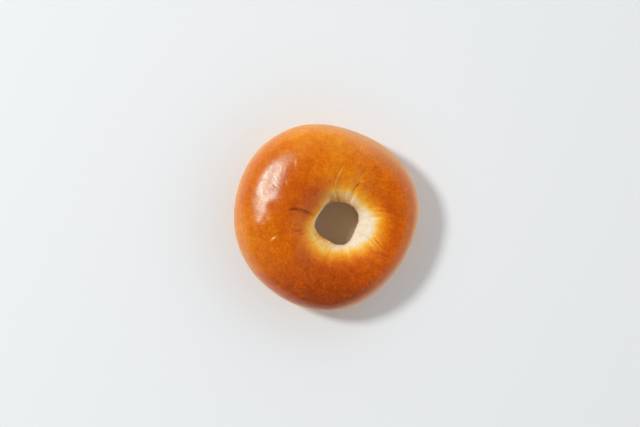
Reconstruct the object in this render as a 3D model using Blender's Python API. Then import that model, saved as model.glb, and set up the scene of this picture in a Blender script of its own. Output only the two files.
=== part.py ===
"""A plain bagel, boiled and baked: one uneven ring of dough, about 100 mm across and 37 mm tall.

The hole sits off the middle, so the rope of dough is thick on one side and thin on the other. The ring
stands on the flat that the tray pressed into its underside. Metres, +Z up, origin on the tray under the
middle of the ring.
"""

import math

import bpy
from mathutils import Vector

MM = 0.001

# The ring seen from above. A wave is (lobes round the ring, rise, direction of one lobe in degrees).
OUTER_RADIUS = 50.0 * MM
OUTER_WAVES = ((2, 0.25 * MM, 96), (3, 0.95 * MM, 18), (4, 0.65 * MM, 18))
HOLE_CENTRE = Vector((6.7, -3.6)) * MM
HOLE_RADIUS = 11.4 * MM
HOLE_WAVES = ((2, 0.25 * MM, 52), (3, 0.4 * MM, 48), (4, 0.55 * MM, 18))

# The rope of dough where it is cut across. Heights are above the tray.
CROWN_HEIGHT = 31.2 * MM
CROWN_SWING = 5.8 * MM  # how much taller the thick side is, and how much lower the thin side
THICK_SIDE = 151  # direction of the thickest rope, in degrees
WAIST_HEIGHT = 13.0 * MM  # where the outer side is widest
THROAT_HEIGHT = 18.5 * MM  # where the hole is narrowest
CROWN_LEAN = 0.09  # how far the crown leans outwards, as a share of half the rope's width
LEAN_SWING = 0.2  # how much more it leans on the thin side, and how much less on the thick side
TOP_FULLNESS = 2.3  # 2 is a round section, and more is a squarer one
BASE_FULLNESS = 2.4
TRAY_SINK = 2.6 * MM  # how far the round underside would reach through the tray
TRAY_ROUNDING = 1.6 * MM  # how softly the side turns into the flat base

# Folds that the hole pulled into the dough: direction at the throat, direction past the crown, depth.
FOLDS = (
    (160, 168, 0.9 * MM),
    (94, 76, 0.6 * MM),
    (59, 54, 0.7 * MM),
    (336, 325, 0.8 * MM),
    (8, 6, 0.3 * MM),
)
FOLD_HALF_WIDTH = 4.5  # degrees round the ring
FOLD_MIDDLE = 132  # degrees round the rope, where 90 is the crown and 180 the throat
FOLD_REACH = 36  # degrees round the rope, either way

# Slow swells on the top and sides: waves round the ring, waves round the rope, rise, phase in degrees.
SWELLS = ((3, 1, 0.45 * MM, 40), (5, 2, 0.28 * MM, 110), (7, 1, 0.16 * MM, 200))

STEPS_ROUND_RING = 120
STEPS_ROUND_ROPE = 40

CRUST_COLOUR = (0.61, 0.17, 0.02, 1.0)
CRUST_ROUGHNESS = 0.38


def clear_scene():
    for obj in list(bpy.data.objects):
        bpy.data.objects.remove(obj)


def outline(turn, radius, waves):
    """A point of a gently lobed circle round the origin, in the direction turn."""
    reach = radius + sum(rise * math.cos(lobes * (turn - math.radians(at))) for lobes, rise, at in waves)
    return Vector((math.cos(turn), math.sin(turn))) * reach


def section(roll, fullness):
    """A superellipse of half size 1: how far across the rope, and how far above or below its waist."""
    power = 2 / fullness
    across = math.copysign(abs(math.cos(roll)) ** power, math.cos(roll))
    return across, abs(math.sin(roll)) ** power


def fold_depth(turn, roll):
    """How far the folds pull the skin in at this place."""
    past_throat = (180 - math.degrees(roll)) / 90
    along = math.exp(-(((math.degrees(roll) - FOLD_MIDDLE) / FOLD_REACH) ** 2))
    depth = 0.0
    for at_throat, past_crown, deepest in FOLDS:
        line = at_throat + (past_crown - at_throat) * past_throat
        aside = math.remainder(math.degrees(turn) - line, 360) / FOLD_HALF_WIDTH
        depth += deepest * along * math.exp(-(aside * aside))
    return depth


def swell(turn, roll):
    """How far the dough bulges at this place. The waist and the throat keep their outlines."""
    bulge = sum(rise * math.cos(a * turn + b * roll + math.radians(at)) for a, b, rise, at in SWELLS)
    return bulge * math.sin(roll) ** 2


def rest_on_tray(height):
    """Height with all that is below the tray pressed flat, and a soft turn where the side meets the flat."""
    blend = max(TRAY_ROUNDING - abs(height), 0.0)
    return max(height, 0.0) + blend * blend / (4 * TRAY_ROUNDING)


def dough_point(turn, roll):
    """The skin at an angle round the ring and an angle round the rope: 0 is its outer side, 90 its top."""
    outer = outline(turn, OUTER_RADIUS, OUTER_WAVES)
    throat = HOLE_CENTRE + outline(turn, HOLE_RADIUS, HOLE_WAVES)
    middle, half_rope = (outer + throat) / 2, (outer - throat) / 2
    to_thick_side = math.cos(turn - math.radians(THICK_SIDE))
    upper = math.sin(roll) >= 0
    across, rise = section(roll, TOP_FULLNESS if upper else BASE_FULLNESS)
    waist = WAIST_HEIGHT + (THROAT_HEIGHT - WAIST_HEIGHT) * (1 - across) / 2
    if upper:
        height = waist + (CROWN_HEIGHT + CROWN_SWING * to_thick_side - waist) * rise
        across += (CROWN_LEAN - LEAN_SWING * to_thick_side) * (1 - across * across)
    else:
        height = waist - (waist + TRAY_SINK) * rise
    out = swell(turn, roll) - fold_depth(turn, roll)
    plan = middle + half_rope * across + half_rope.normalized() * out * math.cos(roll)
    return Vector((plan.x, plan.y, rest_on_tray(height + out * math.sin(roll))))


def shape_ring(mesh):
    """Moves each vertex of a torus of main radius 1 to its place on the dough."""
    for vertex in mesh.vertices:
        x, y, z = vertex.co
        vertex.co = dough_point(math.atan2(y, x), math.atan2(z, math.hypot(x, y) - 1))


def stand_on_origin(mesh):
    """Puts the origin on the tray, under the middle of the ring's bounding box."""
    lowest = Vector(min(v.co[axis] for v in mesh.vertices) for axis in range(3))
    highest = Vector(max(v.co[axis] for v in mesh.vertices) for axis in range(3))
    middle = (lowest + highest) / 2
    for vertex in mesh.vertices:
        vertex.co -= Vector((middle.x, middle.y, lowest.z))


def crust_material():
    material = bpy.data.materials.new("crust")
    material.use_nodes = True
    shader = material.node_tree.nodes["Principled BSDF"]
    shader.inputs["Base Color"].default_value = CRUST_COLOUR
    shader.inputs["Roughness"].default_value = CRUST_ROUGHNESS
    shader.inputs["Metallic"].default_value = 0.0
    return material


def make_bagel(collection):
    bpy.ops.mesh.primitive_torus_add(
        major_segments=STEPS_ROUND_RING,
        minor_segments=STEPS_ROUND_ROPE,
        major_radius=1.0,
        minor_radius=0.5,
    )
    bagel = bpy.context.object
    bagel.name = bagel.data.name = "bagel"
    shape_ring(bagel.data)
    stand_on_origin(bagel.data)
    bagel.data.shade_smooth()
    bagel.data.materials.append(crust_material())
    for holder in list(bagel.users_collection):
        holder.objects.unlink(bagel)
    collection.objects.link(bagel)


def main():
    clear_scene()
    collection = bpy.data.collections.new("bagel")
    bpy.context.scene.collection.children.link(collection)
    make_bagel(collection)


main()
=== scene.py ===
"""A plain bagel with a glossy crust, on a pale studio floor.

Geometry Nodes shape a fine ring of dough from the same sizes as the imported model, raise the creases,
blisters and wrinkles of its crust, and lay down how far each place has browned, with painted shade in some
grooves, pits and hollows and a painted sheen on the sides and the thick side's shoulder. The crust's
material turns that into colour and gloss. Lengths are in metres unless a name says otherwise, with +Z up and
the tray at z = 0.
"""

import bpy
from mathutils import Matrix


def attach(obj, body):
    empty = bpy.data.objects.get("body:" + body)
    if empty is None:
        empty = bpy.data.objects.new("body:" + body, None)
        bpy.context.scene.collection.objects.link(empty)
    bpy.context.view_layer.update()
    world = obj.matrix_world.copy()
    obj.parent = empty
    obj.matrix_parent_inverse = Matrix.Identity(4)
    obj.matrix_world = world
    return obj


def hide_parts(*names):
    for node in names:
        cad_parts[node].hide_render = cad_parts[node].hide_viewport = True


bl_info = {
    "name": "Bagel",
    "version": (1, 0, 0),
    "blender": (4, 5, 0),
    "location": "3D View > Sidebar > Bagel",
    "description": "Makes a baked bagel and the studio round it",
    "category": "Add Mesh",
}

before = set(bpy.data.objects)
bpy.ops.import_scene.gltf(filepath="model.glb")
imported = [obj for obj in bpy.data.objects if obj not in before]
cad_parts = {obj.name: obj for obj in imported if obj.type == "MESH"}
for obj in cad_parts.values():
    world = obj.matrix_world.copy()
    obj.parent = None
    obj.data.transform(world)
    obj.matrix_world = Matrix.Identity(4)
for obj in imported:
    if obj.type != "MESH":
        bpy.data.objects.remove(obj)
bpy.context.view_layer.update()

import math

import bpy
from bpy.props import FloatProperty, FloatVectorProperty, IntProperty, PointerProperty
from mathutils import Vector

MM = 0.001

# ---------------------------------------------------------------- the dough's outlines, folds and swells

# A wave is (lobes round the ring, rise, direction of one lobe in degrees).
OUTER_WAVES = ((2, 0.25 * MM, 96), (3, 0.95 * MM, 18), (4, 0.65 * MM, 18))
HOLE_WAVES = ((2, 0.25 * MM, 52), (3, 0.4 * MM, 48), (4, 0.55 * MM, 18))

# Folds that the hole pulled into the dough: direction at the throat, direction past the crown, depth.
FOLDS = (
    (160, 168, 0.9 * MM),
    (94, 76, 0.6 * MM),
    (59, 54, 0.7 * MM),
    (336, 325, 0.8 * MM),
    (8, 6, 0.3 * MM),
)
FOLD_HALF_WIDTH = 4.5  # degrees round the ring
FOLD_MIDDLE = 132  # degrees round the rope, where 90 is the crown and 180 the throat
FOLD_REACH = 36  # degrees round the rope, either way

# Slow swells on the top and sides: waves round the ring, waves round the rope, rise, phase in degrees.
SWELLS = ((3, 1, 0.45 * MM, 40), (5, 2, 0.28 * MM, 110), (7, 1, 0.16 * MM, 200))

# Creases and ridges of the crust, seen from above: start, middle, end, half width, depth, height of the
# lips on either side, and tint, which makes a line paler above 0 and darker under 0. The darker grooves are
# painted shade; the paler lines are partly crust that stretched and stayed pale and partly painted glints on
# ridges. A depth under 0 is a ridge. Millimetres from the middle of the outline.
CREASES = (
    ((-20.4, 2.9), (-16.6, 4.9), (-12.4, 3.0), 0.62, 0.48, 0.12, -0.34),
    ((-13.6, 3.9), (-10.6, 3.1), (-7.6, 0.9), 0.55, 0.38, 0.10, -0.26),
    ((-20.6, 3.5), (-18.6, 4.3), (-16.2, 4.6), 0.34, -0.14, 0.0, 0.10),
    ((4.3, 15.0), (5.2, 22.0), (10.6, 28.8), 0.36, 0.26, 0.10, -0.10),
    ((5.4, 15.8), (6.6, 21.4), (10.6, 27.2), 0.30, -0.32, 0.0, 0.30),
    ((14.4, 12.0), (17.4, 17.2), (19.4, 20.2), 0.42, 0.36, 0.12, -0.24),
    ((16.4, 16.6), (18.6, 19.6), (20.6, 21.6), 0.36, -0.32, 0.0, 0.38),
    ((17.6, 17.4), (19.6, 18.8), (22.0, 18.8), 0.34, -0.30, 0.0, 0.36),
    ((25.0, 1.2), (29.4, 2.4), (34.8, 0.6), 0.38, -0.14, 0.0, 0.17),
    ((25.2, 3.4), (29.2, 4.4), (33.2, 3.8), 0.36, -0.12, 0.0, 0.13),
    ((25.2, -1.4), (28.6, -1.6), (32.4, -1.2), 0.38, -0.10, 0.0, 0.12),
    ((24.4, -11.2), (27.8, -16.0), (32.6, -19.4), 0.34, -0.22, 0.0, 0.20),
    ((25.8, -11.2), (29.2, -15.0), (31.0, -18.2), 0.32, 0.18, 0.08, -0.10),
    ((26.8, -10.8), (29.8, -14.2), (31.6, -16.8), 0.32, -0.18, 0.0, 0.18),
    ((27.0, -18.4), (31.0, -21.4), (36.4, -23.0), 0.40, 0.26, 0.10, -0.16),
    ((24.0, -13.4), (25.6, -16.6), (28.4, -19.6), 0.32, -0.16, 0.0, 0.14),
    ((-28.9, -13.2), (-26.8, -11.6), (-24.8, -9.8), 0.44, -0.46, 0.0, 0.50),
    ((-28.0, -11.6), (-26.0, -10.6), (-24.0, -9.6), 0.30, 0.16, 0.0, -0.16),
    ((-32.4, -14.6), (-31.6, -14.0), (-30.9, -13.8), 0.34, -0.18, 0.0, 0.20),
    ((-15.5, 24.2), (-15.2, 27.6), (-14.8, 30.8), 0.38, -0.20, 0.0, 0.14),
    ((-5.4, 22.8), (-5.0, 25.8), (-4.8, 28.6), 0.38, -0.18, 0.0, 0.14),
    ((2.2, 20.6), (2.0, 24.8), (2.6, 29.0), 0.40, 0.12, 0.05, -0.05),
    ((-20.2, 16.6), (-19.8, 17.9), (-19.6, 19.0), 0.34, -0.20, 0.0, 0.20),
    ((-21.0, 34.6), (-20.4, 35.4), (-19.8, 36.0), 0.32, -0.14, 0.0, 0.14),
    ((-12.0, -6.4), (-14.6, -8.8), (-18.4, -9.4), 0.55, 0.24, 0.06, -0.14),
    ((2.4, -18.0), (1.8, -23.0), (2.8, -29.0), 1.60, 0.16, 0.0, 0.03),
    ((7.4, -19.0), (8.4, -25.0), (8.0, -31.0), 1.80, 0.20, 0.0, -0.03),
)

# Pits and bumps: place, half width, depth or, under 0, height, and tint, as above. The darker pits are
# painted shade and the darker blisters are browner crust. The last seven make the lower end of the thick
# side's shoulder uneven, so the light on it breaks up there; the paler tint on five of them is a painted
# sheen.
SPOTS = (
    ((-26.7, 16.3), 0.70, 0.10, -0.10),
    ((-32.1, 12.5), 0.60, 0.08, -0.06),
    ((27.0, 26.0), 0.55, 0.10, -0.30),
    ((-12.0, -44.6), 0.90, -0.16, -0.22),
    ((-0.5, -45.4), 0.80, -0.16, -0.26),
    ((8.6, -43.4), 0.70, -0.14, -0.20),
    ((-5.4, -42.6), 0.60, -0.10, -0.16),
    ((34.4, 12.4), 0.60, -0.10, -0.14),
    ((-36.4, -5.2), 4.80, -0.72, 0.0),
    ((-27.0, 5.0), 3.20, 0.30, 0.0),
    ((-30.4, -2.4), 5.50, -0.10, 0.05),
    ((-28.6, -2.2), 1.80, -0.42, 0.09),
    ((-31.8, -4.4), 1.20, -0.24, 0.04),
    ((-27.8, -5.0), 0.90, -0.22, 0.04),
    ((-33.0, -7.0), 0.80, -0.20, 0.03),
)

# The broad flat on the shoulder of the thick side, which catches the light in a patch.
SHOULDER_PLACE = (-30.9 * MM, 14.6 * MM)
SHOULDER_FACES = math.radians(153)
SHOULDER_REACH = 7.2 * MM  # down the shoulder, either way
SHOULDER_LENGTH = 19.0 * MM  # along the shoulder, either way
DIMPLES_LOST = 0.35  # the share of the dimples that the flat smooths away
BLISTERS_LOST = 0.7  # and of the blisters

# Where the pale collar round the hole ends, and how brown the crust is beyond it, as waves round the ring.
COLLAR_WAVES = ((1, 4.0 * MM, -23), (2, 0.6 * MM, 26), (3, 1.7 * MM, -23), (4, 0.9 * MM, -16))
BROWN_WAVES = ((1, 0.120, -90), (3, 0.077, 21), (2, 0.045, 132))

# Local changes to the collar. A lobe is (direction and half width in degrees round the ring, height).
COLLAR_LOBES = ((5, 20, 0.8 * MM), (328, 20, -0.8 * MM), (244, 24, 0.8 * MM), (88, 18, -0.5 * MM))
BLEND_LOBES = ((165, 65, -0.2), (118, 28, -0.2), (242, 24, 0.07))  # of the blend's width, as a share
LEAST_BAKE_AND_SHADE_LOBES = ((215, 50, 0.15), (92, 42, 0.12))  # of the least that the collar has browned, partly light browning and partly painted shade on its sides that face away from the key
TAN_AND_SHADE_LOBES = ((98, 36, 1.0), (225, 50, 0.2))  # of the tan on the collar's sides that face away from the key, partly its own dull tan and partly painted shade
EDGE_SHADE_LOBES = ((42, 24, 0.5),)  # of the painted shade, in the tan colour, close to the throat where the wall turns down into the hole
SHADE_BAND_LOBES = ((125, 28, 0.12),)  # of the painted shade beyond the collar, on the inner slope that faces away from the key


# ---------------------------------------------------------------- sizes and colours a user would change


def number(name, description, default):
    return FloatProperty(name=name, description=description, default=default)


def length(name, description, default):
    return FloatProperty(name=name, description=description, default=default, unit="LENGTH")


def angle(name, description, degrees):
    return FloatProperty(name=name, description=description, default=math.radians(degrees), subtype="ANGLE")


def colour(name, description, default):
    return FloatVectorProperty(
        name=name, description=description, subtype="COLOR", size=3, default=default, min=0.0, max=1.0
    )


class DoughSizes(bpy.types.PropertyGroup):
    """The ring of dough, seen from above and cut across."""

    outer_radius: length("Outer Radius", "Mean radius of the ring's outline", 50.0 * MM)
    hole_radius: length("Hole Radius", "Mean radius of the hole where it is narrowest", 11.4 * MM)
    hole_right: length("Hole Right", "How far the hole lies towards +X from the outline's middle", 6.7 * MM)
    hole_back: length("Hole Back", "How far the hole lies towards +Y from the outline's middle", -3.6 * MM)
    crown_height: length("Crown Height", "Mean height of the crown over the tray", 31.2 * MM)
    crown_swing: length(
        "Crown Swing", "How much taller the thick side is, and how much lower the thin side", 5.8 * MM
    )
    thick_side: angle("Thick Side", "Direction of the thickest rope", 151)
    waist_height: length("Waist Height", "Height at which the outer side is widest", 13.0 * MM)
    throat_height: length("Throat Height", "Height at which the hole is narrowest", 18.5 * MM)
    crown_lean: number(
        "Crown Lean", "How far the crown leans outwards, as a share of half the rope's width", 0.09
    )
    lean_swing: number(
        "Lean Swing", "How much more the crown leans on the thin side, and less on the thick side", 0.20
    )
    top_fullness: number("Top Fullness", "Squareness of the rope's upper half: 2 is round", 2.3)
    base_fullness: number("Base Fullness", "Squareness of the rope's lower half: 2 is round", 2.4)
    tray_sink: length("Tray Sink", "How far the round underside would reach through the tray", 2.6 * MM)
    tray_rounding: length("Tray Rounding", "How softly the side turns into the flat base", 1.6 * MM)
    ring_steps: IntProperty(name="Ring Steps", description="Faces round the ring", default=560, min=24)
    rope_steps: IntProperty(name="Rope Steps", description="Faces round the rope", default=172, min=12)


class CrustRelief(bpy.types.PropertyGroup):
    """The fine shape of the crust."""

    seed: IntProperty(name="Seed", description="Picks the pattern of dimples, peel and blisters", default=7)
    shoulder_flat: length("Shoulder Flat", "How far the flat on the thick side is pressed in", 1.3 * MM)
    dimple_size: length("Dimple Size", "Distance between the slow dimples of the dough", 13.0 * MM)
    dimple_depth: length("Dimple Depth", "How far the slow dimples go in or out", 0.40 * MM)
    peel_size: length("Peel Size", "Distance between the fine bumps of the crust", 2.6 * MM)
    peel_height: length("Peel Height", "How far the fine bumps stand out", 0.035 * MM)
    wrinkle_depth: length("Wrinkle Depth", "How deep the wrinkles of the pale collar are", 0.65 * MM)
    blister_spacing: length("Blister Spacing", "Distance between tiny blisters", 4.2 * MM)
    blister_height: length("Blister Height", "How far the tiny blisters stand out", 0.10 * MM)
    crease_depth: FloatProperty(
        name="Crease Depth", description="Scales every crease, ridge and spot", default=1.0, min=0.0
    )


class OvenColour(bpy.types.PropertyGroup):
    """How far each place has browned, from 0 for pale to 1 for dark, with some painted shade, and how much
    tan, partly painted shade, and dust with a painted sheen lie on it.
    """

    collar_width: length("Collar Width", "Mean width of the pale collar round the hole", 7.2 * MM)
    collar_blend: length("Collar Blend", "Distance over which the collar turns brown", 15.0 * MM)
    streak_length: length("Streak Length", "How far pale streaks run out of the collar", 1.5 * MM)
    # The collar's tan is partly its own colour and partly painted shade.
    collar_tan: number("Collar Tan And Shade", "How tan the collar's shaded side is", 0.85)
    # The dull layer on the side is partly dust and partly a painted sheen.
    rim_film: number("Rim Dust And Sheen", "How dusty the side of the ring is", 0.85)
    brownness: number("Brownness", "Mean browning of the top", 0.73)
    mottle: number("Mottle", "How much the browning varies in blotches", 0.21)
    shoulder_fade: number("Shoulder Fade", "How much less the thick side's outer shoulder browns", 0.17)
    low_side_bake: number("Low Side Bake", "How much more the ring's front shoulder browns", 0.10)
    rim_brownness: number("Rim Brownness", "Browning of the side", 0.28)
    base_brownness: number("Base Brownness", "Browning of the flat base", 0.60)


class CrustLook(bpy.types.PropertyGroup):
    """The colours that dough passes through in the oven, a tan that is partly painted shade, a dull layer
    that is partly dust and partly a painted sheen, and its gloss.
    """

    pale_dough: colour("Pale Dough", "Dough that hardly browned", (0.90, 0.77, 0.60))
    butter: colour("Butter", "The collar's soft edge", (0.93, 0.55, 0.10))
    golden: colour("Golden", "First browning", (0.92, 0.375, 0.004))
    amber: colour("Amber", "Light crust", (0.81, 0.258, 0.001))
    orange: colour("Orange", "Ordinary crust", (0.73, 0.175, 0.0))
    chestnut: colour("Chestnut", "Well baked crust", (0.62, 0.118, 0.0))
    brown: colour("Brown", "Dark crust", (0.51, 0.077, 0.0))
    dark_brown: colour("Dark Brown", "The darkest crust", (0.33, 0.046, 0.0))
    # A dull pinkish layer on the sides: partly dust, partly a painted sheen.
    film: colour("Dust And Sheen", "Dull film on the sides", (0.72, 0.37, 0.19))
    # Partly the collar's own dull tan, partly painted shade on its sides away from the key.
    tan: colour("Tan", "Dull tan of the collar's shaded side", (0.60, 0.29, 0.075))
    crust_roughness: number("Crust Roughness", "Roughness of the crust", 0.295)
    dough_roughness: number("Dough Roughness", "Roughness of the pale collar", 0.62)


class StudioSettings(bpy.types.PropertyGroup):
    """The floor, the light and the camera."""

    floor_colour: colour("Floor Colour", "Colour of the studio floor", (0.82, 0.845, 0.86))
    key_direction: angle("Key Direction", "Direction that the key light comes from, seen from above", 153)
    key_elevation: angle("Key Elevation", "Height of the key light over the horizon", 48.4)
    key_spread: angle("Key Spread", "How wide the key light looks from the bagel", 11)
    key_power: FloatProperty(
        name="Key Power", description="Power of the key light", default=35.5, subtype="POWER"
    )
    fill_strength: number("Fill Strength", "Brightness of the pale room all round", 0.86)
    fill_direction: angle("Fill Direction", "Direction of the room's brightest side, seen from above", 25)
    fill_swing: number("Fill Swing", "How much brighter that side is, and how much dimmer the other", 0.5)
    overhead_strength: number("Overhead Strength", "Brightness of the dim ceiling straight above", 0.06)
    lens: number("Lens", "Focal length of the camera, in millimetres", 85.0)


# ---------------------------------------------------------------- writing node trees


class Wire:
    """A node's output, which Python arithmetic extends with Math nodes, in a shader or a geometry tree."""

    def __init__(self, socket):
        self.socket = socket
        self.tree = socket.id_data

    def __add__(self, other):
        return calc("ADD", self, other)

    def __mul__(self, other):
        return calc("MULTIPLY", self, other)

    def __sub__(self, other):
        return calc("SUBTRACT", self, other)

    def __rsub__(self, other):
        return calc("SUBTRACT", other, self)

    def __truediv__(self, other):
        return calc("DIVIDE", self, other)

    def __rtruediv__(self, other):
        return calc("DIVIDE", other, self)

    def __pow__(self, other):
        return calc("POWER", self, other)

    __radd__ = __add__
    __rmul__ = __mul__


def plug(value, socket):
    """Links a wire to a node's input, or sets the input to a plain value."""
    if isinstance(value, Wire):
        socket.id_data.links.new(value.socket, socket)
    else:
        socket.default_value = value


def calc(operation, *values):
    """A Math node over wires and numbers."""
    tree = next(value.tree for value in values if isinstance(value, Wire))
    node = tree.nodes.new("ShaderNodeMath")
    node.operation = operation
    for value, socket in zip(values, node.inputs):
        plug(value, socket)
    return Wire(node.outputs[0])


def add(tree, kind, inputs=None, output=0, **settings):
    """A node with its settings and inputs filled in, as a wire from one of its outputs."""
    node = tree.nodes.new(kind)
    for name, value in settings.items():
        setattr(node, name, value)
    for name, value in (inputs or {}).items():
        plug(value, node.inputs[name])
    return Wire(node.outputs[output])


def cosine(value):
    return calc("COSINE", value)


def sine(value):
    return calc("SINE", value)


def bell(offset):
    """1 at no offset, falling smoothly to nothing past about 2."""
    return calc("POWER", math.e, offset * offset * -1)


def between(low, high, share):
    """The value a share of the way from low to high."""
    return low + (high - low) * share


SOCKET_KINDS = {"INT": "NodeSocketInt", "FLOAT": "NodeSocketFloat"}


def new_tree(name, groups=(), **more):
    """A geometry tree with a named input for each property of the groups and each of more's sockets.

    More gives (label, kind, default) by key. Returns the tree, its geometry wire and its input wires by key.
    """
    tree = bpy.data.node_groups.new(name, "GeometryNodeTree")
    tree.interface.new_socket("Geometry", in_out="INPUT", socket_type="NodeSocketGeometry")
    tree.interface.new_socket("Geometry", in_out="OUTPUT", socket_type="NodeSocketGeometry")
    inputs = {}
    for group in groups:
        for key in group.__annotations__:
            rna = group.bl_rna.properties[key]
            inputs[key] = (rna.name, SOCKET_KINDS[rna.type], rna.default)
    entry = tree.nodes.new("NodeGroupInput")
    wires = {}
    for key, (label, kind, default) in {**inputs, **more}.items():
        tree.interface.new_socket(label, in_out="INPUT", socket_type=kind).default_value = default
        wires[key] = Wire(entry.outputs[label])
    return tree, Wire(entry.outputs["Geometry"]), wires


def nest(tree, group, wires, geometry=None):
    """Runs a nested tree, on a geometry if there is one, with its named inputs filled from the wires."""
    by_label = {wire.socket.name: wire for wire in wires.values()}
    labels = [item.name for item in group.interface.items_tree if item.in_out == "INPUT"]
    inputs = {label: by_label[label] for label in labels if label in by_label}
    if geometry:
        inputs["Geometry"] = geometry
    return add(tree, "GeometryNodeGroup", inputs, node_tree=group)


def end_tree(tree, geometry):
    plug(geometry, tree.nodes.new("NodeGroupOutput").inputs["Geometry"])
    return tree


def split(tree, place):
    """A vector's three parts, as wires."""
    node = tree.nodes.new("ShaderNodeSeparateXYZ")
    plug(place, node.inputs[0])
    return tuple(Wire(socket) for socket in node.outputs)


def position_of(tree):
    """The place of each point, as three wires."""
    return split(tree, add(tree, "GeometryNodeInputPosition"))


def stored(tree, name):
    return add(tree, "GeometryNodeInputNamedAttribute", {"Name": name})


def store(tree, geometry, name, value):
    inputs = {"Geometry": geometry, "Name": name, "Value": value}
    return add(tree, "GeometryNodeStoreNamedAttribute", inputs, domain="POINT")


def noise(tree, place, size, seed=0.0, detail=1.0, roughness=0.5):
    """Smooth noise from about -1 to 1, with lumps of the given size."""
    inputs = {"Vector": place, "W": seed, "Scale": 1 / size, "Detail": detail, "Roughness": roughness}
    return (add(tree, "ShaderNodeTexNoise", inputs, noise_dimensions="4D") - 0.5) * 2


def fade(value, start, end):
    """0 at start and beyond, 1 at end and beyond, with soft ends."""
    ramp = {"Value": value, "From Min": start, "From Max": end, "To Min": 0.0, "To Max": 1.0}
    return add(value.tree, "ShaderNodeMapRange", ramp, interpolation_type="SMOOTHSTEP")


def vector(tree, x, y, z):
    return add(tree, "ShaderNodeCombineXYZ", {"X": x, "Y": y, "Z": z})


def ring_noise(tree, turn, roll, pace, seed, detail):
    """Noise that changes at its own pace round the ring, and at another round the rope."""
    round_ring, round_rope = pace
    place = vector(tree, cosine(turn) * round_ring, sine(turn) * round_ring, roll * round_rope)
    return noise(tree, place, 1.0, seed, detail)


# ---------------------------------------------------------------- the ring of dough


def reach(turn, radius, waves):
    """Distance from the middle to a gently lobed outline, in the direction turn."""
    distance = radius
    for lobes, rise, at in waves:
        distance = distance + cosine((turn - math.radians(at)) * lobes) * rise
    return distance


def fold_depth(turn, roll):
    """How far the folds pull the skin in."""
    turn, roll = turn * math.degrees(1), roll * math.degrees(1)
    past_throat = (180 - roll) / 90
    along = bell((roll - FOLD_MIDDLE) / FOLD_REACH)
    depth = 0.0
    for at_throat, past_crown, deepest in FOLDS:
        line = past_throat * (past_crown - at_throat) + at_throat
        aside = calc("WRAP", turn - line, 180.0, -180.0) / FOLD_HALF_WIDTH
        depth = bell(aside) * deepest + depth
    return depth * along


def swell(turn, roll):
    """How far the dough bulges. The waist and the throat keep their outlines."""
    bulge = 0.0
    for round_ring, round_rope, rise, at in SWELLS:
        bulge = cosine(turn * round_ring + roll * round_rope + math.radians(at)) * rise + bulge
    return bulge * sine(roll) ** 2


def rest_on_tray(height, rounding):
    """Height with all that is below the tray pressed flat, and a soft turn where side and flat meet."""
    blend = calc("MAXIMUM", rounding - calc("ABSOLUTE", height), 0.0)
    return calc("MAXIMUM", height, 0.0) + blend * blend / (rounding * 4)


TOP_SHARE = 0.35  # how far the rope's steps crowd towards its top, from 0 for even steps to 1


def dough_ring_tree():
    """A torus of main radius 1 whose points move to their places on the dough."""
    tree, _, size = new_tree("Dough Ring", (DoughSizes,))
    ring = add(tree, "GeometryNodeCurvePrimitiveCircle", {"Resolution": size["ring_steps"], "Radius": 1.0})
    rope = add(tree, "GeometryNodeCurvePrimitiveCircle", {"Resolution": size["rope_steps"], "Radius": 0.5})
    torus = add(tree, "GeometryNodeCurveToMesh", {"Curve": ring, "Profile Curve": rope})
    x, y, z = position_of(tree)
    turn = calc("ARCTAN2", y, x)
    even_roll = calc("ARCTAN2", z, calc("SQRT", x * x + y * y) - 1)
    roll = even_roll + cosine(even_roll) * TOP_SHARE
    torus = store(tree, store(tree, torus, "turn", turn), "roll", roll)
    turn, roll = stored(tree, "turn"), stored(tree, "roll")

    outer = reach(turn, size["outer_radius"], OUTER_WAVES)
    throat = reach(turn, size["hole_radius"], HOLE_WAVES)
    outer_x, outer_y = cosine(turn) * outer, sine(turn) * outer
    throat_x, throat_y = cosine(turn) * throat + size["hole_right"], sine(turn) * throat + size["hole_back"]
    half_x, half_y = (outer_x - throat_x) / 2, (outer_y - throat_y) / 2
    half_rope = calc("SQRT", half_x * half_x + half_y * half_y)

    cos_roll, sin_roll = cosine(roll), sine(roll)
    upper = calc("GREATER_THAN", sin_roll, 0.0)
    power = 2 / between(size["base_fullness"], size["top_fullness"], upper)
    straight_across = calc("SIGN", cos_roll) * calc("ABSOLUTE", cos_roll) ** power
    rise = calc("ABSOLUTE", sin_roll) ** power
    waist = between(size["waist_height"], size["throat_height"], (1 - straight_across) / 2)
    to_thick_side = cosine(turn - size["thick_side"])
    crown = size["crown_height"] + size["crown_swing"] * to_thick_side
    height = waist + rise * between((waist + size["tray_sink"]) * -1, crown - waist, upper)
    lean = (size["crown_lean"] - size["lean_swing"] * to_thick_side) * upper
    across = straight_across + lean * (1 - straight_across * straight_across)

    out = swell(turn, roll) - fold_depth(turn, roll)
    share = across + out * cos_roll / half_rope
    torus = store(tree, torus, "past_throat", half_rope * (share + 1))
    placed = vector(
        tree,
        (outer_x + throat_x) / 2 + half_x * share,
        (outer_y + throat_y) / 2 + half_y * share,
        rest_on_tray(height + out * sin_roll, size["tray_rounding"]),
    )
    return end_tree(tree, add(tree, "GeometryNodeSetPosition", {"Geometry": torus, "Position": placed}))


# ---------------------------------------------------------------- the crust's relief


def mark(tree, geometry, rise, tint):
    """Adds to the height and the paleness of the crust."""
    geometry = store(tree, geometry, "rise", stored(tree, "rise") + rise)
    return store(tree, geometry, "tint", stored(tree, "tint") + tint)


WAVER = 0.5 * MM  # how far a crease wanders from its line
WAVER_SIZE = 3.0 * MM
WAVER_SEED = 11.0
CREASE_TAPER = 0.42  # a crease's half length, where it has mostly faded, as a share of its chord
LIP_PLACE = 2.1  # where its lips stand, in half widths from its line
LIP_WIDTH = 0.9  # and how wide they are
TINT_WIDTH = 1.2
FACING_UP = 0.3  # how far the crust has to face up for a mark on it to be whole


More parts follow.
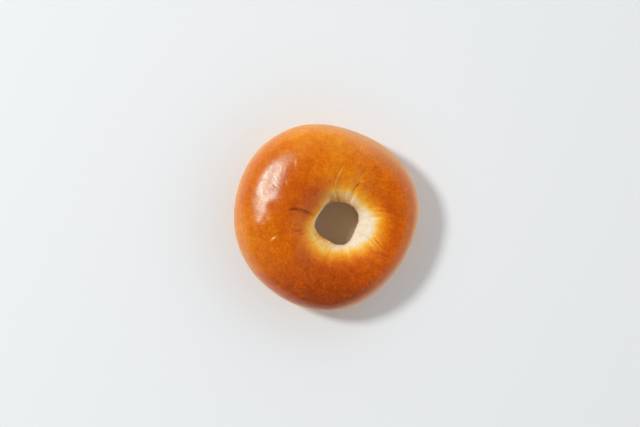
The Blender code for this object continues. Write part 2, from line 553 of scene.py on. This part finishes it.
def crease_tree():
    """One crease or ridge, bent from a start through a middle to an end, drawn on the crust from above."""
    tree, crust, size = new_tree(
        "Crease",
        start=("Start", "NodeSocketVector", (0.0, 0.0, 0.0)),
        middle=("Middle", "NodeSocketVector", (0.0, 0.0, 0.0)),
        end=("End", "NodeSocketVector", (0.0, 0.0, 0.0)),
        half_width=("Half Width", "NodeSocketFloat", 0.4 * MM),
        depth=("Depth", "NodeSocketFloat", 0.3 * MM),
        lip=("Lip", "NodeSocketFloat", 0.1 * MM),
        tint=("Tint", "NodeSocketFloat", 0.0),
    )
    bend = {"Start": size["start"], "Middle": size["middle"], "End": size["end"]}
    bend = add(tree, "GeometryNodeCurveQuadraticBezier", bend)
    line = add(tree, "GeometryNodeCurveToMesh", {"Curve": bend})
    x, y, _ = position_of(tree)
    waver = noise(tree, add(tree, "GeometryNodeInputPosition"), WAVER_SIZE, WAVER_SEED) * WAVER
    here = vector(tree, x + waver, y - waver, 0.0)
    aside = add(
        tree,
        "GeometryNodeProximity",
        {"Geometry": line, "Sample Position": here},
        output="Distance",
        target_element="EDGES",
    ) / size["half_width"]
    chord = add(tree, "ShaderNodeVectorMath", {0: size["end"], 1: size["start"]}, operation="SUBTRACT")
    walked = add(tree, "ShaderNodeVectorMath", {0: here, 1: size["start"]}, operation="SUBTRACT")
    dots = [
        add(tree, "ShaderNodeVectorMath", {0: way, 1: chord}, output="Value", operation="DOT_PRODUCT")
        for way in (walked, chord)
    ]
    along = bell((dots[0] / dots[1] - 0.5) / CREASE_TAPER)
    facing_up = fade(sine(stored(tree, "roll")), 0.0, FACING_UP)
    groove = size["depth"] * bell(aside) * -1 + size["lip"] * bell((aside - LIP_PLACE) / LIP_WIDTH)
    tint = size["tint"] * bell(aside / TINT_WIDTH)
    return end_tree(tree, mark(tree, crust, groove * along * facing_up, tint * along * facing_up))


def spot_tree():
    """One small round pit or blister."""
    tree, crust, size = new_tree(
        "Spot",
        place=("Place", "NodeSocketVector", (0.0, 0.0, 0.0)),
        half_width=("Half Width", "NodeSocketFloat", 0.8 * MM),
        depth=("Depth", "NodeSocketFloat", 0.2 * MM),
        tint=("Tint", "NodeSocketFloat", 0.0),
    )
    x, y, _ = position_of(tree)
    ends = {0: vector(tree, x, y, 0.0), 1: size["place"]}
    away = add(tree, "ShaderNodeVectorMath", ends, output="Value", operation="DISTANCE")
    shape = bell(away / size["half_width"]) * fade(sine(stored(tree, "roll")), 0.0, FACING_UP)
    return end_tree(tree, mark(tree, crust, size["depth"] * shape * -1, size["tint"] * shape))


# The wrinkles of the collar: pleats that run out from the hole, and rings that run round it. A pace is how
# often they change round the ring and round the rope.
WRINKLE_PLACE = 2.5 * MM  # how far past the throat they are deepest
WRINKLE_REACH = 7.0 * MM
WRINKLE_FACING = (-0.6, 0.1)  # the sine of the place round the rope where they start, and are whole
WRINKLE_TINT = 0.16  # how much paler their tops are than their valleys
PLEAT_PACE = (6.0, 1.2)
RING_PACE = (1.6, 7.0)
PLEAT_SHARE = 0.6  # the rest is rings
BLISTER_EDGE, BLISTER_TOP = 0.22, 0.02  # from a cell's middle, as a share of the blister spacing
BLISTER_PATCH = 16.0 * MM  # distance between the patches of crust that have blisters
BLISTER_PATCH_EDGES = (-0.1, 0.5)
RELIEF_STARTS, RELIEF_IS_WHOLE = 0.5 * MM, 4.0 * MM  # over the tray, so the base stays flat


def point(place):
    """A point of the crust seen from above, from millimetres."""
    return place[0] * MM, place[1] * MM, 0.0


def relief_tree():
    """Pushes the crust in and out along its normals, and leaves its paleness in the attribute tint."""
    tree, crust, size = new_tree("Crust Relief", (CrustRelief,))
    turn, roll = stored(tree, "turn"), stored(tree, "roll")
    place = add(tree, "GeometryNodeInputPosition")
    x, y, z = position_of(tree)

    cos_face, sin_face = math.cos(SHOULDER_FACES), math.sin(SHOULDER_FACES)
    off_x, off_y = x - SHOULDER_PLACE[0], y - SHOULDER_PLACE[1]
    down = bell((off_x * cos_face + off_y * sin_face) / SHOULDER_REACH)
    along = bell((off_y * cos_face - off_x * sin_face) / SHOULDER_LENGTH)
    shoulder = down * along

    dimples = noise(tree, place, size["dimple_size"], size["seed"]) * size["dimple_depth"]
    peel = noise(tree, place, size["peel_size"], size["seed"], detail=2.0) * size["peel_height"]
    in_collar = bell((stored(tree, "past_throat") - WRINKLE_PLACE) / WRINKLE_REACH)
    in_collar = in_collar * fade(sine(roll), *WRINKLE_FACING)
    pleats = ring_noise(tree, turn, roll, PLEAT_PACE, seed=3.0, detail=2.0)
    rings = ring_noise(tree, turn, roll, RING_PACE, seed=5.0, detail=2.0)
    wrinkles = (pleats * PLEAT_SHARE + rings * (1 - PLEAT_SHARE)) * in_collar
    cells = {"Vector": place, "Scale": 1 / size["blister_spacing"], "Randomness": 1.0}
    blisters = fade(add(tree, "ShaderNodeTexVoronoi", cells), BLISTER_EDGE, BLISTER_TOP)
    blisters = blisters * size["blister_height"]
    blisters = blisters * fade(noise(tree, place, BLISTER_PATCH, seed=9.0), *BLISTER_PATCH_EDGES)

    rise = dimples * (1 - shoulder * DIMPLES_LOST) + peel + wrinkles * size["wrinkle_depth"]
    rise = rise + blisters * (1 - shoulder * BLISTERS_LOST) - shoulder * size["shoulder_flat"]
    crust = store(tree, crust, "rise", rise)
    crust = store(tree, crust, "tint", wrinkles * WRINKLE_TINT)
    crease, spot = crease_tree(), spot_tree()
    for start, middle, end, half_width, depth, lip, tint in CREASES:
        line = {"Start": point(start), "Middle": point(middle), "End": point(end)}
        rises = {"Depth": size["crease_depth"] * (depth * MM), "Lip": size["crease_depth"] * (lip * MM)}
        inputs = {"Geometry": crust, "Half Width": half_width * MM, "Tint": tint, **line, **rises}
        crust = add(tree, "GeometryNodeGroup", inputs, node_tree=crease)
    for middle, half_width, depth, tint in SPOTS:
        inputs = {"Geometry": crust, "Place": point(middle), "Half Width": half_width * MM, "Tint": tint}
        inputs["Depth"] = size["crease_depth"] * (depth * MM)
        crust = add(tree, "GeometryNodeGroup", inputs, node_tree=spot)

    above_tray = fade(z, RELIEF_STARTS, RELIEF_IS_WHOLE)
    push = {0: add(tree, "GeometryNodeInputNormal"), "Scale": stored(tree, "rise") * above_tray}
    push = add(tree, "ShaderNodeVectorMath", push, operation="SCALE")
    crust = add(tree, "GeometryNodeSetPosition", {"Geometry": crust, "Offset": push})
    return end_tree(tree, crust)


# ---------------------------------------------------------------- the oven's browning, with painted shade and sheen

# Directions are degrees round the ring, and places are degrees round the rope: 0 is its outer side, 90 its
# crown. A side's pair of places is on the thick side and on the thin side.
PALE_SHOULDER = 145  # direction of the shoulder that browns less
PALE_SHOULDER_ENDS = (-0.1, 0.8)  # the cosine of the angle from it where it starts, and where it is whole
PALE_SHOULDER_PLACES = (100, 30)  # where that starts, and where it is whole
THIN_SIDE = 2  # direction of the thin side
THIN_SIDE_ENDS = (-0.2, 0.6)
FRONT_LOBES = ((282, 38, 1.0),)  # of the front shoulder, which browns more
FRONT_PLACES = (110, 60)
RIM_STARTS, RIM_IS_WHOLE = (32, 52), (6, 10)
# The dull layer on the sides: partly dust and partly a painted sheen, strongest and blotchiest on the thin
# side.
DUST_AND_SHEEN_STARTS = (40, 84)
DUST_AND_SHEEN_SHARES = (0.4, 1.0)
DUST_AND_SHEEN_KEEPS_OFF = (7.0 * MM, 16.0 * MM)  # past the throat, where the dust and painted sheen are absent, and where they are whole
TAN_AND_SHADE_PAST_THROAT = (8.5 * MM, 2.5 * MM)  # where the tan and painted shade start, and where they are whole
EDGE_SHADE_PAST_THROAT = (2.6 * MM, 0.6 * MM)
SHADE_BAND_PLACE, SHADE_BAND_REACH = 10.0 * MM, 5.0 * MM  # past the throat
THROAT_BASE_TAN = 0.2  # browning of the hole's lowest part
THROAT_BASE_PLACE, THROAT_BASE_REACH = 3.0 * MM, 7.0 * MM  # over the tray
BASE_TOP, BASE_FULL = 2.4 * MM, 0.3 * MM  # over the tray, where the base's browning starts and is whole
STREAK_PACE = (7.0, 0.8)
BLOTCH_SIZE, SMALL_BLOTCH_SIZE = 15.0 * MM, 5.0 * MM
SMALL_BLOTCH_SHARE = 0.5
TOP_MOTTLE, RIM_MOTTLE = 0.5, 0.3  # the shares of the mottle that the top and the rim take
STREAK_BAKE = 0.05  # how much the streaks change the least browning
TAN_BLOTCHES, DUST_AND_SHEEN_BLOTCHES = 0.2, 0.5
WRINKLE_SHADE = 10  # how much more of the tan and painted shade the wrinkles' valleys get than their tops


def lobed(turn, lobes):
    """A sum of lobes round the ring: each has its height in its own direction, and nothing far from it."""
    total = 0.0
    for direction, half_width, height in lobes:
        aside = calc("WRAP", turn - math.radians(direction), math.pi, -math.pi)
        total = bell(aside / math.radians(half_width)) * height + total
    return total


def round_rope(roll, places):
    """0 at the first of two places round the rope and beyond, 1 at the second and beyond."""
    return fade(roll, *(math.radians(place) for place in places))


def by_side(thin_side, places):
    """A place round the rope that moves from the first on the thick side to the second on the thin side."""
    return between(*(math.radians(place) for place in places), thin_side)


def oven_tree():
    """Works out three attributes: bake, 0 for pale dough and 1 for the darkest crust, with some painted
    shade; tan, partly painted shade; and film, partly dust and partly a painted sheen.
    """
    tree, crust, size = new_tree("Oven Colour", (OvenColour,))
    turn, roll, past_throat = stored(tree, "turn"), stored(tree, "roll"), stored(tree, "past_throat")
    place = add(tree, "GeometryNodeInputPosition")
    _, _, z = position_of(tree)
    thick_side = fade(cosine(turn - math.radians(PALE_SHOULDER)), *PALE_SHOULDER_ENDS)
    thin_side = fade(cosine(turn - math.radians(THIN_SIDE)), *THIN_SIDE_ENDS)
    streaks = ring_noise(tree, turn, roll, STREAK_PACE, seed=2.0, detail=3.0)
    blotches = noise(tree, place, BLOTCH_SIZE, seed=1.0, detail=2.0)
    blotches = blotches + noise(tree, place, SMALL_BLOTCH_SIZE, seed=4.0) * SMALL_BLOTCH_SHARE

    collar = reach(turn, size["collar_width"], COLLAR_WAVES) + lobed(turn, COLLAR_LOBES)
    collar = collar + streaks * size["streak_length"]
    half_blend = size["collar_blend"] * (lobed(turn, BLEND_LOBES) + 0.5)
    crusted = fade(past_throat, collar - half_blend, collar + half_blend)

    top = reach(turn, size["brownness"], BROWN_WAVES) + blotches * size["mottle"] * TOP_MOTTLE
    top = top - round_rope(roll, PALE_SHOULDER_PLACES) * thick_side * size["shoulder_fade"]
    top = top + lobed(turn, FRONT_LOBES) * round_rope(roll, FRONT_PLACES) * size["low_side_bake"]
    # A painted shade: a browner band on the upper left's inner slope, which faces away from the key.
    shade_band = bell((past_throat - SHADE_BAND_PLACE) / SHADE_BAND_REACH)
    top = top + lobed(turn, SHADE_BAND_LOBES) * shade_band
    rim = fade(roll, by_side(thin_side, RIM_STARTS), by_side(thin_side, RIM_IS_WHOLE))
    bake = crusted * between(top, size["rim_brownness"] + blotches * size["mottle"] * RIM_MOTTLE, rim)
    low_wall = bell((z - THROAT_BASE_PLACE) / THROAT_BASE_REACH) * THROAT_BASE_TAN
    # The collar's least browning is partly painted shade, on its upper side and at the throat's lower-left
    # edge.
    bake = calc("MAXIMUM", bake, lobed(turn, LEAST_BAKE_AND_SHADE_LOBES) + low_wall + streaks * STREAK_BAKE)
    bake = between(bake, size["base_brownness"], fade(z, BASE_TOP, BASE_FULL))
    # The tints of the creases, spots and wrinkles go into the browning: among them are painted shade in
    # grooves and pits, and painted glints and sheen on some ridges and bumps.
    crust = store(tree, crust, "bake", bake - stored(tree, "tint"))

    # Tan, partly the collar's own and partly painted shade: on the sides that face away from the key, at the
    # throat's edge and in the wrinkles' valleys.
    shaded = lobed(turn, TAN_AND_SHADE_LOBES) * fade(past_throat, *TAN_AND_SHADE_PAST_THROAT)
    shaded = shaded + lobed(turn, EDGE_SHADE_LOBES) * fade(past_throat, *EDGE_SHADE_PAST_THROAT)
    uneven = blotches * TAN_BLOTCHES - stored(tree, "tint") * WRINKLE_SHADE + 1
    crust = store(tree, crust, "tan", shaded * size["collar_tan"] * uneven)
    # Dust and a painted sheen over the sides, most on the thin side and in blotches.
    side = fade(roll, by_side(thin_side, DUST_AND_SHEEN_STARTS), 0.0) * between(*DUST_AND_SHEEN_SHARES, thin_side)
    side = side * fade(past_throat, *DUST_AND_SHEEN_KEEPS_OFF)
    crust = store(tree, crust, "film", side * size["rim_film"] * (blotches * DUST_AND_SHEEN_BLOTCHES + 1))
    for name in ("turn", "roll", "past_throat", "rise", "tint"):
        crust = add(tree, "GeometryNodeRemoveAttribute", {"Geometry": crust, "Name": name})
    return end_tree(tree, crust)


# ---------------------------------------------------------------- the whole bagel


def bagel_tree(crust):
    """The whole bagel: dough, relief and browning, stood on the tray over the origin, with its material."""
    tree, _, size = new_tree("Bagel", (DoughSizes, CrustRelief, OvenColour))
    made = nest(tree, dough_ring_tree(), size)
    box = tree.nodes.new("GeometryNodeBoundBox")
    plug(made, box.inputs[0])
    corners = {0: Wire(box.outputs["Min"]), 1: Wire(box.outputs["Max"])}
    twice_middle = add(tree, "ShaderNodeVectorMath", corners, operation="ADD")
    shift = add(tree, "ShaderNodeVectorMath", {0: twice_middle, 1: (-0.5, -0.5, 0.0)}, operation="MULTIPLY")
    made = nest(tree, relief_tree(), size, made)
    made = nest(tree, oven_tree(), size, made)
    made = add(tree, "GeometryNodeSetPosition", {"Geometry": made, "Offset": shift})
    made = add(tree, "GeometryNodeRealizeInstances", {"Geometry": made})
    made = add(tree, "GeometryNodeSetShadeSmooth", {"Geometry": made})
    made = add(tree, "GeometryNodeSetMaterial", {"Geometry": made, "Material": crust})
    return end_tree(tree, made)


# ---------------------------------------------------------------- the crust's colour and gloss

# How far the dough has browned at each colour of the crust.
BAKE_STEPS = {
    "pale_dough": 0.0,
    "butter": 0.14,
    "golden": 0.245,
    "amber": 0.41,
    "orange": 0.56,
    "chestnut": 0.70,
    "brown": 0.85,
    "dark_brown": 1.0,
}

GRAIN_SIZE, MOTTLE_SIZE, FRECKLE_SIZE = 1.2 * MM, 4.5 * MM, 0.9 * MM
GRAIN_BAKE, MOTTLE_BAKE, FRECKLE_BAKE = 0.30, 0.17, 0.14  # how much each changes the browning
FRECKLE_EDGES = (0.35, 0.75)  # the noise where a freckle starts, and where it is whole
UNEVEN_COVER = 0.3  # how much the grain and the mottle thin the tan and the film
CALM_COLLAR = 0.3  # the share of those changes that the pale collar keeps
BROWNED = (0.12, 0.5)  # bake where the dough starts to turn glossy, and where it is wholly so
GLOSS_PATCH_SIZE, GLOSS_PATCHES = 7.0 * MM, 0.05
PEEL_SIZE = 1.2 * MM
BUMP_HEIGHT = 0.055 * MM
PEEL_BUMP, GRAIN_BUMP = 0.6, 0.3
SPECULAR_LEVEL = 0.55
SPECULAR_TINT = (0.57, 0.98, 0.93, 1.0)  # the glaze mirrors less of the red that the crust gives back


def blended(tree, share, under, over):
    """The colour under, covered by the colour over in the given share."""
    mix = tree.nodes.new("ShaderNodeMix")
    mix.data_type = "RGBA"
    plug(share, mix.inputs["Factor"])
    for name, value in (("A", under), ("B", over)):
        plug(value, next(socket for socket in mix.inputs if socket.name == name and socket.type == "RGBA"))
    return next(Wire(socket) for socket in mix.outputs if socket.type == "RGBA")


def crust_material(look):
    """Browned crust that is glossy on top and matte where it stayed pale."""
    material = bpy.data.materials.new("crust")
    material.use_nodes = True
    tree = material.node_tree
    bake = add(tree, "ShaderNodeAttribute", output="Fac", attribute_name="bake")
    place = add(tree, "ShaderNodeTexCoord", output="Object")
    browned = fade(bake, *BROWNED)

    grain = noise(tree, place, GRAIN_SIZE, seed=2.0, detail=3.0, roughness=0.65)
    mottle = noise(tree, place, MOTTLE_SIZE, seed=6.0, detail=3.0, roughness=0.6)
    freckles = fade(noise(tree, place, FRECKLE_SIZE, seed=8.0), *FRECKLE_EDGES)
    changes = grain * GRAIN_BAKE + mottle * MOTTLE_BAKE + freckles * FRECKLE_BAKE
    level = bake + changes * between(CALM_COLLAR, 1.0, browned)
    ramp = tree.nodes.new("ShaderNodeValToRGB")
    stops = ramp.color_ramp.elements
    while len(stops) < len(BAKE_STEPS):
        stops.new(0.5)
    for stop, (key, step) in zip(stops, BAKE_STEPS.items()):
        stop.position = step
        stop.color = (*getattr(look, key), 1.0)
    plug(level, ramp.inputs["Fac"])

    uneven = (grain + mottle) * UNEVEN_COVER + 1
    film = add(tree, "ShaderNodeAttribute", output="Fac", attribute_name="film") * uneven
    tan = add(tree, "ShaderNodeAttribute", output="Fac", attribute_name="tan") * uneven
    # The tan, partly painted shade, covers the browned colour.
    base_colour = blended(tree, tan, Wire(ramp.outputs["Color"]), (*look.tan, 1.0))
    # Over that, the dull layer of dust and painted sheen.
    base_colour = blended(tree, film, base_colour, (*look.film, 1.0))

    patches = noise(tree, place, GLOSS_PATCH_SIZE, seed=12.0, detail=2.0) * GLOSS_PATCHES
    roughness = between(look.dough_roughness, look.crust_roughness, browned * (1 - film)) + patches
    peel = noise(tree, place, PEEL_SIZE, seed=10.0, detail=3.0, roughness=0.55)
    bump = {"Strength": 1.0, "Distance": BUMP_HEIGHT, "Height": peel * PEEL_BUMP + grain * GRAIN_BUMP}

    shader = tree.nodes["Principled BSDF"]
    plug(base_colour, shader.inputs["Base Color"])
    plug(roughness, shader.inputs["Roughness"])
    plug(add(tree, "ShaderNodeBump", bump), shader.inputs["Normal"])
    shader.inputs["Specular IOR Level"].default_value = SPECULAR_LEVEL
    shader.inputs["Specular Tint"].default_value = SPECULAR_TINT
    return material


def plain_mesh(name, tree, groups):
    """The result of a geometry tree, with its inputs set from property groups, as a plain mesh object."""
    maker = bpy.data.objects.new(name + "_maker", bpy.data.meshes.new(name + "_maker"))
    bpy.context.scene.collection.objects.link(maker)
    modifier = maker.modifiers.new(tree.name, "NODES")
    modifier.node_group = tree
    sockets = {item.name: item.identifier for item in tree.interface.items_tree if item.in_out == "INPUT"}
    for group in groups:
        for key in group.__annotations__:
            modifier[sockets[group.bl_rna.properties[key].name]] = getattr(group, key)
    mesh = bpy.data.meshes.new_from_object(maker.evaluated_get(bpy.context.evaluated_depsgraph_get()))
    bpy.data.objects.remove(maker)
    piece = bpy.data.objects.new(name, mesh)
    mesh.name = name
    bpy.context.scene.collection.objects.link(piece)
    return piece


class BAGEL_OT_make(bpy.types.Operator):
    """Make the bagel"""

    bl_idname = "bagel.make"
    bl_label = "Make Bagel"
    bl_options = {"REGISTER", "UNDO"}

    def execute(self, context):
        scene = context.scene
        tree = bagel_tree(crust_material(scene.bagel_look))
        bagel = plain_mesh("bagel_crust", tree, (scene.bagel_dough, scene.bagel_relief, scene.bagel_oven))
        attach(bagel, "root")
        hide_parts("bagel")
        return {"FINISHED"}


# ---------------------------------------------------------------- the studio

CAMERA_DISTANCE = 818 * MM
CAMERA_FOCUS_HEIGHT = 16 * MM
CAMERA_RIGHT = -3.3 * MM
CAMERA_BACK = 2.1 * MM
KEY_DISTANCE = 2.5
KEY_TARGET_HEIGHT = 20 * MM
FLOOR_SIZE = 6.0
FLOOR_ROUGHNESS = 0.8
FLOOR_SPECULAR = 0.2
MIRRORED_DIM = 0.01  # how bright the room looks in a gloss, as a share, so the key light alone shines there
DIM_ABOVE = math.radians(70)  # height over the horizon from which the room is at its dimmest
BRIGHT_BELOW = math.radians(42)  # and under which it is at its brightest


def room(studio):
    """A pale room with a dim ceiling."""
    world = bpy.data.worlds.new("studio")
    world.use_nodes = True
    tree = world.node_tree
    x, y, z = split(tree, add(tree, "ShaderNodeTexCoord", output="Generated"))
    ramp = {
        "Value": z,
        "From Min": math.sin(BRIGHT_BELOW),
        "From Max": math.sin(DIM_ABOVE),
        "To Min": studio.fill_strength,
        "To Max": studio.overhead_strength,
    }
    strength = add(tree, "ShaderNodeMapRange", ramp, interpolation_type="SMOOTHSTEP")
    towards = x * math.cos(studio.fill_direction) + y * math.sin(studio.fill_direction)
    is_mirrored = add(tree, "ShaderNodeLightPath", output="Is Glossy Ray")
    strength = strength * (towards * studio.fill_swing + 1) * between(1.0, MIRRORED_DIM, is_mirrored)
    background = tree.nodes["Background"]
    background.inputs["Color"].default_value = (1.0, 1.0, 1.0, 1.0)
    plug(strength, background.inputs["Strength"])
    return world


class BAGEL_OT_studio(bpy.types.Operator):
    """Make the floor, the light and the camera"""

    bl_idname = "bagel.studio"
    bl_label = "Make Studio"
    bl_options = {"REGISTER", "UNDO"}

    def execute(self, context):
        studio = context.scene.bagel_studio
        bpy.ops.mesh.primitive_plane_add(size=FLOOR_SIZE)
        floor = context.object
        floor.name = "studio_floor"
        material = bpy.data.materials.new("studio_floor")
        material.use_nodes = True
        shader = material.node_tree.nodes["Principled BSDF"]
        shader.inputs["Base Color"].default_value = (*studio.floor_colour, 1.0)
        shader.inputs["Roughness"].default_value = FLOOR_ROUGHNESS
        shader.inputs["Specular IOR Level"].default_value = FLOOR_SPECULAR
        floor.data.materials.append(material)

        target = Vector((0, 0, KEY_TARGET_HEIGHT))
        flat, up = math.cos(studio.key_elevation), math.sin(studio.key_elevation)
        towards = Vector((math.cos(studio.key_direction) * flat, math.sin(studio.key_direction) * flat, up))
        lamp = bpy.data.lights.new("key_light", "AREA")
        lamp.shape = "DISK"
        lamp.size = 2 * KEY_DISTANCE * math.tan(studio.key_spread / 2)
        lamp.energy = studio.key_power
        key = bpy.data.objects.new("key_light", lamp)
        key.location = target + towards * KEY_DISTANCE
        key.rotation_euler = towards.to_track_quat("Z", "Y").to_euler()
        context.scene.collection.objects.link(key)

        context.scene.world = room(studio)
        context.scene.view_settings.view_transform = "Standard"

        lens = bpy.data.cameras.new("camera")
        lens.lens = studio.lens
        camera = bpy.data.objects.new("camera", lens)
        camera.location = (CAMERA_RIGHT, CAMERA_BACK, CAMERA_FOCUS_HEIGHT + CAMERA_DISTANCE)
        context.scene.collection.objects.link(camera)
        context.scene.camera = camera
        return {"FINISHED"}


class BAGEL_PT_panel(bpy.types.Panel):
    """Lists the bagel's settings and the steps that make it"""

    bl_label = "Bagel"
    bl_idname = "BAGEL_PT_panel"
    bl_space_type = "VIEW_3D"
    bl_region_type = "UI"
    bl_category = "Bagel"

    def draw(self, context):
        for key in SETTINGS:
            settings = getattr(context.scene, key)
            column = self.layout.column(align=True)
            column.label(text=settings.bl_rna.description)
            for name in settings.__annotations__:
                column.prop(settings, name)
        for step in (BAGEL_OT_make, BAGEL_OT_studio):
            self.layout.operator(step.bl_idname)


SETTINGS = {
    "bagel_dough": DoughSizes,
    "bagel_relief": CrustRelief,
    "bagel_oven": OvenColour,
    "bagel_look": CrustLook,
    "bagel_studio": StudioSettings,
}
CLASSES = (*SETTINGS.values(), BAGEL_OT_make, BAGEL_OT_studio, BAGEL_PT_panel)


def register():
    for cls in CLASSES:
        bpy.utils.register_class(cls)
    for key, group in SETTINGS.items():
        setattr(bpy.types.Scene, key, PointerProperty(type=group))


def unregister():
    for key in SETTINGS:
        delattr(bpy.types.Scene, key)
    for cls in reversed(CLASSES):
        bpy.utils.unregister_class(cls)


def main():
    register()
    bpy.ops.bagel.make()
    bpy.ops.bagel.studio()


if __name__ == "__main__":
    main()
